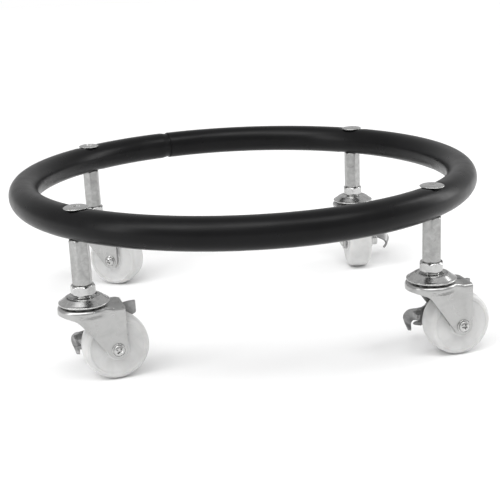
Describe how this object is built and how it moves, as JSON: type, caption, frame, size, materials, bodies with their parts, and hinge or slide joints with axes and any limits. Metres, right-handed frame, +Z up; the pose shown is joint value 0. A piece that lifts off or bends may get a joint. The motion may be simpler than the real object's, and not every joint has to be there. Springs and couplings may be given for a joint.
{
  "type": "drum dolly",
  "caption": "Tubular ring dolly on hexagonal legs with braked swivel casters, for rolling a drum or barrel about.",
  "frame": {"origin": "on the floor, on the ring's axis", "axes": "+Z up along the ring's axis; -Y is the front, where the wheels of the two front casters trail towards +X"},
  "size_m": [0.3999, 0.4, 0.1385],
  "materials": {
    "black_powder_coat": "satin",
    "bright_zinc": "bright zinc plate",
    "galvanised_leg": "dull zinc plate",
    "zinc_fork": "zinc-plated pressed sheet",
    "brake_steel": "zinc-plated pressed sheet",
    "ball_steel": "polished",
    "white_nylon": "smooth moulded nylon"
  },
  "bodies": {
    "frame": {"ring": "black_powder_coat", "ring_screws": "bright_zinc", "leg_1": "galvanised_leg", "leg_2": "galvanised_leg", "leg_3": "galvanised_leg", "leg_4": "galvanised_leg", "lock_nuts": "bright_zinc", "stem_1": "bright_zinc", "top_race_1": "bright_zinc", "upper_balls_1": "ball_steel", "lower_balls_1": "ball_steel", "lower_race_1": "bright_zinc", "stem_2": "bright_zinc", "top_race_2": "bright_zinc", "upper_balls_2": "ball_steel", "lower_balls_2": "ball_steel", "lower_race_2": "bright_zinc", "stem_3": "bright_zinc", "top_race_3": "bright_zinc", "upper_balls_3": "ball_steel", "lower_balls_3": "ball_steel", "lower_race_3": "bright_zinc", "stem_4": "bright_zinc", "top_race_4": "bright_zinc", "upper_balls_4": "ball_steel", "lower_balls_4": "ball_steel", "lower_race_4": "bright_zinc"},
    "caster_1": {"fork_1": "zinc_fork", "axle_bolt_1": "bright_zinc", "axle_nut_1": "bright_zinc", "axle_sleeve_1": "bright_zinc", "brake_rivet_1": "bright_zinc"},
    "wheel_body_1": {"wheel_1": "white_nylon"},
    "brake_body_1": {"brake_lever_1": "brake_steel"},
    "caster_2": {"fork_2": "zinc_fork", "axle_bolt_2": "bright_zinc", "axle_nut_2": "bright_zinc", "axle_sleeve_2": "bright_zinc", "brake_rivet_2": "bright_zinc"},
    "wheel_body_2": {"wheel_2": "white_nylon"},
    "brake_body_2": {"brake_lever_2": "brake_steel"},
    "caster_3": {"fork_3": "zinc_fork", "axle_bolt_3": "bright_zinc", "axle_nut_3": "bright_zinc", "axle_sleeve_3": "bright_zinc", "brake_rivet_3": "bright_zinc"},
    "wheel_body_3": {"wheel_3": "white_nylon"},
    "brake_body_3": {"brake_lever_3": "brake_steel"},
    "caster_4": {"fork_4": "zinc_fork", "axle_bolt_4": "bright_zinc", "axle_nut_4": "bright_zinc", "axle_sleeve_4": "bright_zinc", "brake_rivet_4": "bright_zinc"},
    "wheel_body_4": {"wheel_4": "white_nylon"},
    "brake_body_4": {"brake_lever_4": "brake_steel"}
  },
  "joints": [
    {"name": "swivel_1", "type": "hinge", "parent": "frame", "child": "caster_1", "pos_m": [-0.13809, -0.12654, 0.0588], "axis": [0, 0, 1], "continuous": true},
    {"name": "wheel_spin_1", "type": "hinge", "parent": "caster_1", "child": "wheel_body_1", "pos_m": [-0.11751, -0.12235, 0.026], "axis": [-0.1994, 0.9799, 0], "continuous": true},
    {"name": "brake_1", "type": "hinge", "parent": "caster_1", "child": "brake_body_1", "pos_m": [-0.12535, -0.12395, 0.0455], "axis": [0.1994, -0.9799, 0], "range_deg": [0, 7]},
    {"name": "swivel_2", "type": "hinge", "parent": "frame", "child": "caster_2", "pos_m": [0.13011, -0.13473, 0.0588], "axis": [0, 0, 1], "continuous": true},
    {"name": "wheel_spin_2", "type": "hinge", "parent": "caster_2", "child": "wheel_body_2", "pos_m": [0.15088, -0.13163, 0.026], "axis": [-0.1478, 0.989, 0], "continuous": true},
    {"name": "brake_2", "type": "hinge", "parent": "caster_2", "child": "brake_body_2", "pos_m": [0.14297, -0.13281, 0.0455], "axis": [0.1478, -0.989, 0], "range_deg": [0, 7]},
    {"name": "swivel_3", "type": "hinge", "parent": "frame", "child": "caster_3", "pos_m": [-0.13586, 0.12893, 0.0588], "axis": [0, 0, 1], "continuous": true},
    {"name": "wheel_spin_3", "type": "hinge", "parent": "caster_3", "child": "wheel_body_3", "pos_m": [-0.11707, 0.11956, 0.026], "axis": [0.4462, 0.8949, 0], "continuous": true},
    {"name": "brake_3", "type": "hinge", "parent": "caster_3", "child": "brake_body_3", "pos_m": [-0.12423, 0.12313, 0.0455], "axis": [-0.4462, -0.8949, 0], "range_deg": [0, 7]},
    {"name": "swivel_4", "type": "hinge", "parent": "frame", "child": "caster_4", "pos_m": [0.12654, 0.13809, 0.0588], "axis": [0, 0, 1], "continuous": true},
    {"name": "wheel_spin_4", "type": "hinge", "parent": "caster_4", "child": "wheel_body_4", "pos_m": [0.12599, 0.1171, 0.026], "axis": [0.9997, -0.0262, 0], "continuous": true},
    {"name": "brake_4", "type": "hinge", "parent": "caster_4", "child": "brake_body_4", "pos_m": [0.1262, 0.1251, 0.0455], "axis": [-0.9997, 0.0262, 0], "range_deg": [0, 7]}
  ]
}
